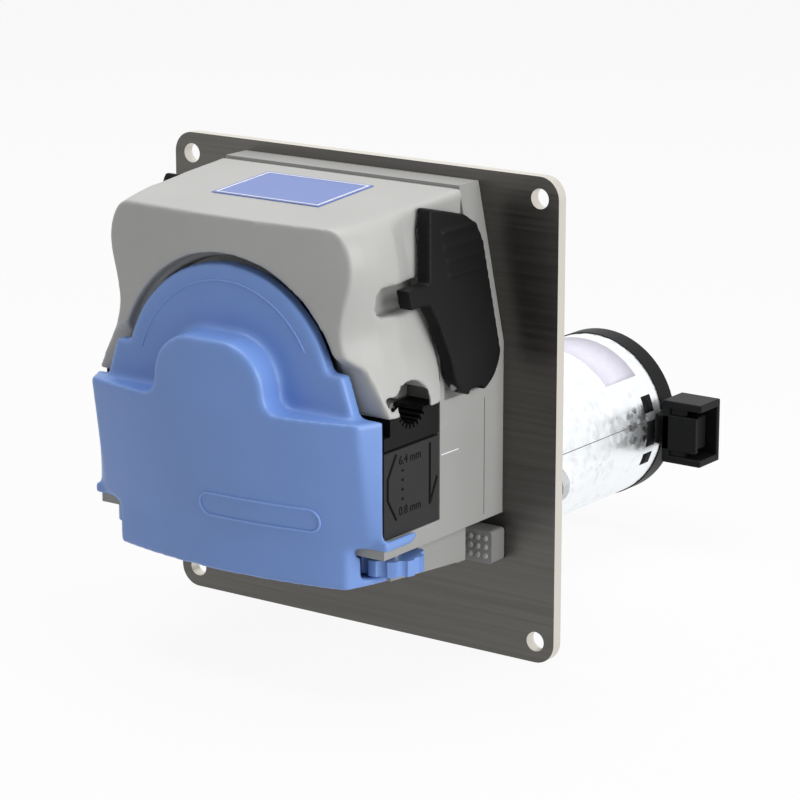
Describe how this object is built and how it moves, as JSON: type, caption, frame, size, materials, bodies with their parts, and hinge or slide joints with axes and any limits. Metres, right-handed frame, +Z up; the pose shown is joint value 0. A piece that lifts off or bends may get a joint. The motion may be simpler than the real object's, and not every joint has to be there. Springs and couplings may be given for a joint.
{
  "type": "panel-mount peristaltic pump head",
  "caption": "Panel-mount peristaltic pump head with roller rotor, lifting track shell locked by side levers, screw tube clamps, gearbox and DC motor.",
  "frame": {"origin": "centre of the mounting plate's back face, which seats on the panel", "axes": "+Y behind the panel along the motor's axis, -Y out of the front of the pump, +Z up, +X to the right as seen from the front"},
  "size_m": [0.152, 0.2318, 0.158],
  "materials": {
    "stainless_plate": "brushed",
    "grey_plastic": "satin",
    "blue_plastic": "satin",
    "black_plastic": "satin",
    "track_plastic": "satin",
    "steel": "machined",
    "galvanised_steel": "galvanised",
    "cast_aluminium": "cast",
    "brass": "machined",
    "ferrite": "matte",
    "roller_plastic": "smooth",
    "label": "film"
  },
  "bodies": {
    "head": {"mounting_plate": "stainless_plate", "rear_housing": "grey_plastic", "base_housing": "grey_plastic", "guide_rods": "steel", "scale_plate_left": "black_plastic", "scale_plate_right": "black_plastic", "rear_bush": "brass", "front_bush": "brass", "front_cover": "blue_plastic", "gearbox_case": "cast_aluminium", "gearbox_lid": "cast_aluminium", "idler_pin": "steel", "motor_flange": "galvanised_steel", "motor_can": "galvanised_steel", "magnets": "ferrite", "end_cap": "black_plastic", "brush_gear": "brass", "connector_housing": "black_plastic", "connector_pins": "brass", "housing_screws": "steel", "gearbox_screws": "steel", "motor_screws": "steel"},
    "motor_rotor": {"armature": "steel", "commutator": "brass", "motor_shaft": "steel", "motor_pinion": "brass"},
    "idler": {"idler_gear": "steel"},
    "rotor": {"rotor_rear_carrier": "cast_aluminium", "rotor_front_carrier": "cast_aluminium", "rotor_hub": "cast_aluminium", "roller_pins": "steel", "drive_shaft": "steel", "rotor_screw": "steel", "output_gear": "steel"},
    "roller_1": {"roller_1": "roller_plastic"},
    "roller_2": {"roller_2": "roller_plastic"},
    "roller_3": {"roller_3": "roller_plastic"},
    "roller_4": {"roller_4": "roller_plastic"},
    "shell": {"track_shell": "grey_plastic", "track_bed": "track_plastic", "top_label": "label"},
    "lever_left": {"lever_left": "black_plastic", "lever_pin_left": "steel"},
    "clamp_wheel_left": {"thumbwheel_left": "blue_plastic", "clamp_screw_left": "steel"},
    "jaw_left": {"tube_jaw_left": "black_plastic"},
    "catch_left": {"release_catch_left": "grey_plastic"},
    "lever_right": {"lever_right": "black_plastic", "lever_pin_right": "steel"},
    "clamp_wheel_right": {"thumbwheel_right": "blue_plastic", "clamp_screw_right": "steel"},
    "jaw_right": {"tube_jaw_right": "black_plastic"},
    "catch_right": {"release_catch_right": "grey_plastic"}
  },
  "joints": [
    {"name": "motor_spin", "type": "hinge", "parent": "head", "child": "motor_rotor", "pos_m": [0, 0.1, -0.0379], "axis": [0, 1, 0], "continuous": true},
    {"name": "rotor_spin", "type": "hinge", "parent": "head", "child": "rotor", "pos_m": [0, 0, 0.0153], "axis": [0, 1, 0], "continuous": true},
    {"name": "idler_spin", "type": "hinge", "parent": "head", "child": "idler", "pos_m": [0.00654, 0.03, -0.01398], "axis": [0, 1, 0], "continuous": true},
    {"name": "roller_1_spin", "type": "hinge", "parent": "rotor", "child": "roller_1", "pos_m": [0.0255, -0.0538, 0.0153], "axis": [0, 1, 0], "continuous": true},
    {"name": "roller_2_spin", "type": "hinge", "parent": "rotor", "child": "roller_2", "pos_m": [0, -0.0538, 0.0408], "axis": [0, 1, 0], "continuous": true},
    {"name": "roller_3_spin", "type": "hinge", "parent": "rotor", "child": "roller_3", "pos_m": [-0.0255, -0.0538, 0.0153], "axis": [0, 1, 0], "continuous": true},
    {"name": "roller_4_spin", "type": "hinge", "parent": "rotor", "child": "roller_4", "pos_m": [0, -0.0538, -0.0102], "axis": [0, 1, 0], "continuous": true},
    {"name": "shell_lift", "type": "slide", "parent": "head", "child": "shell", "axis": [0, 0, 1], "range_m": [0, 0.014]},
    {"name": "lever_left_swing", "type": "hinge", "parent": "head", "child": "lever_left", "pos_m": [-0.0582, -0.0267, 0.017], "axis": [0, -1, 0], "range_deg": [0, 110]},
    {"name": "thumbwheel_left_turn", "type": "hinge", "parent": "head", "child": "clamp_wheel_left", "pos_m": [-0.0482, -0.0538, -0.036], "axis": [0, 0, -1], "range_deg": [0, 720]},
    {"name": "tube_jaw_left_lift", "type": "slide", "parent": "head", "child": "jaw_left", "axis": [0, 0, 1], "range_m": [0, 0.0056]},
    {"name": "release_catch_left_slide", "type": "slide", "parent": "head", "child": "catch_left", "axis": [-1, 0, 0], "range_m": [0, 0.003], "stiffness_N_per_m": 300},
    {"name": "lever_right_swing", "type": "hinge", "parent": "head", "child": "lever_right", "pos_m": [0.0582, -0.0267, 0.017], "axis": [0, 1, 0], "range_deg": [0, 110]},
    {"name": "thumbwheel_right_turn", "type": "hinge", "parent": "head", "child": "clamp_wheel_right", "pos_m": [0.0482, -0.0538, -0.036], "axis": [0, 0, -1], "range_deg": [0, 720]},
    {"name": "tube_jaw_right_lift", "type": "slide", "parent": "head", "child": "jaw_right", "axis": [0, 0, 1], "range_m": [0, 0.0056]},
    {"name": "release_catch_right_slide", "type": "slide", "parent": "head", "child": "catch_right", "axis": [1, 0, 0], "range_m": [0, 0.003], "stiffness_N_per_m": 300}
  ],
  "couplings": [
    {"joint": "rotor_spin", "follows": "motor_spin", "ratio": 0.08},
    {"joint": "idler_spin", "follows": "motor_spin", "ratio": -0.24},
    {"joint": "roller_1_spin", "follows": "motor_spin", "ratio": -0.32},
    {"joint": "roller_2_spin", "follows": "motor_spin", "ratio": -0.32},
    {"joint": "roller_3_spin", "follows": "motor_spin", "ratio": -0.32},
    {"joint": "roller_4_spin", "follows": "motor_spin", "ratio": -0.32},
    {"joint": "lever_left_swing", "follows": "shell_lift", "rad_per_m": 137.13},
    {"joint": "thumbwheel_left_turn", "follows": "tube_jaw_left_lift", "rad_per_m": 2244},
    {"joint": "lever_right_swing", "follows": "shell_lift", "rad_per_m": 137.13},
    {"joint": "thumbwheel_right_turn", "follows": "tube_jaw_right_lift", "rad_per_m": 2244}
  ]
}
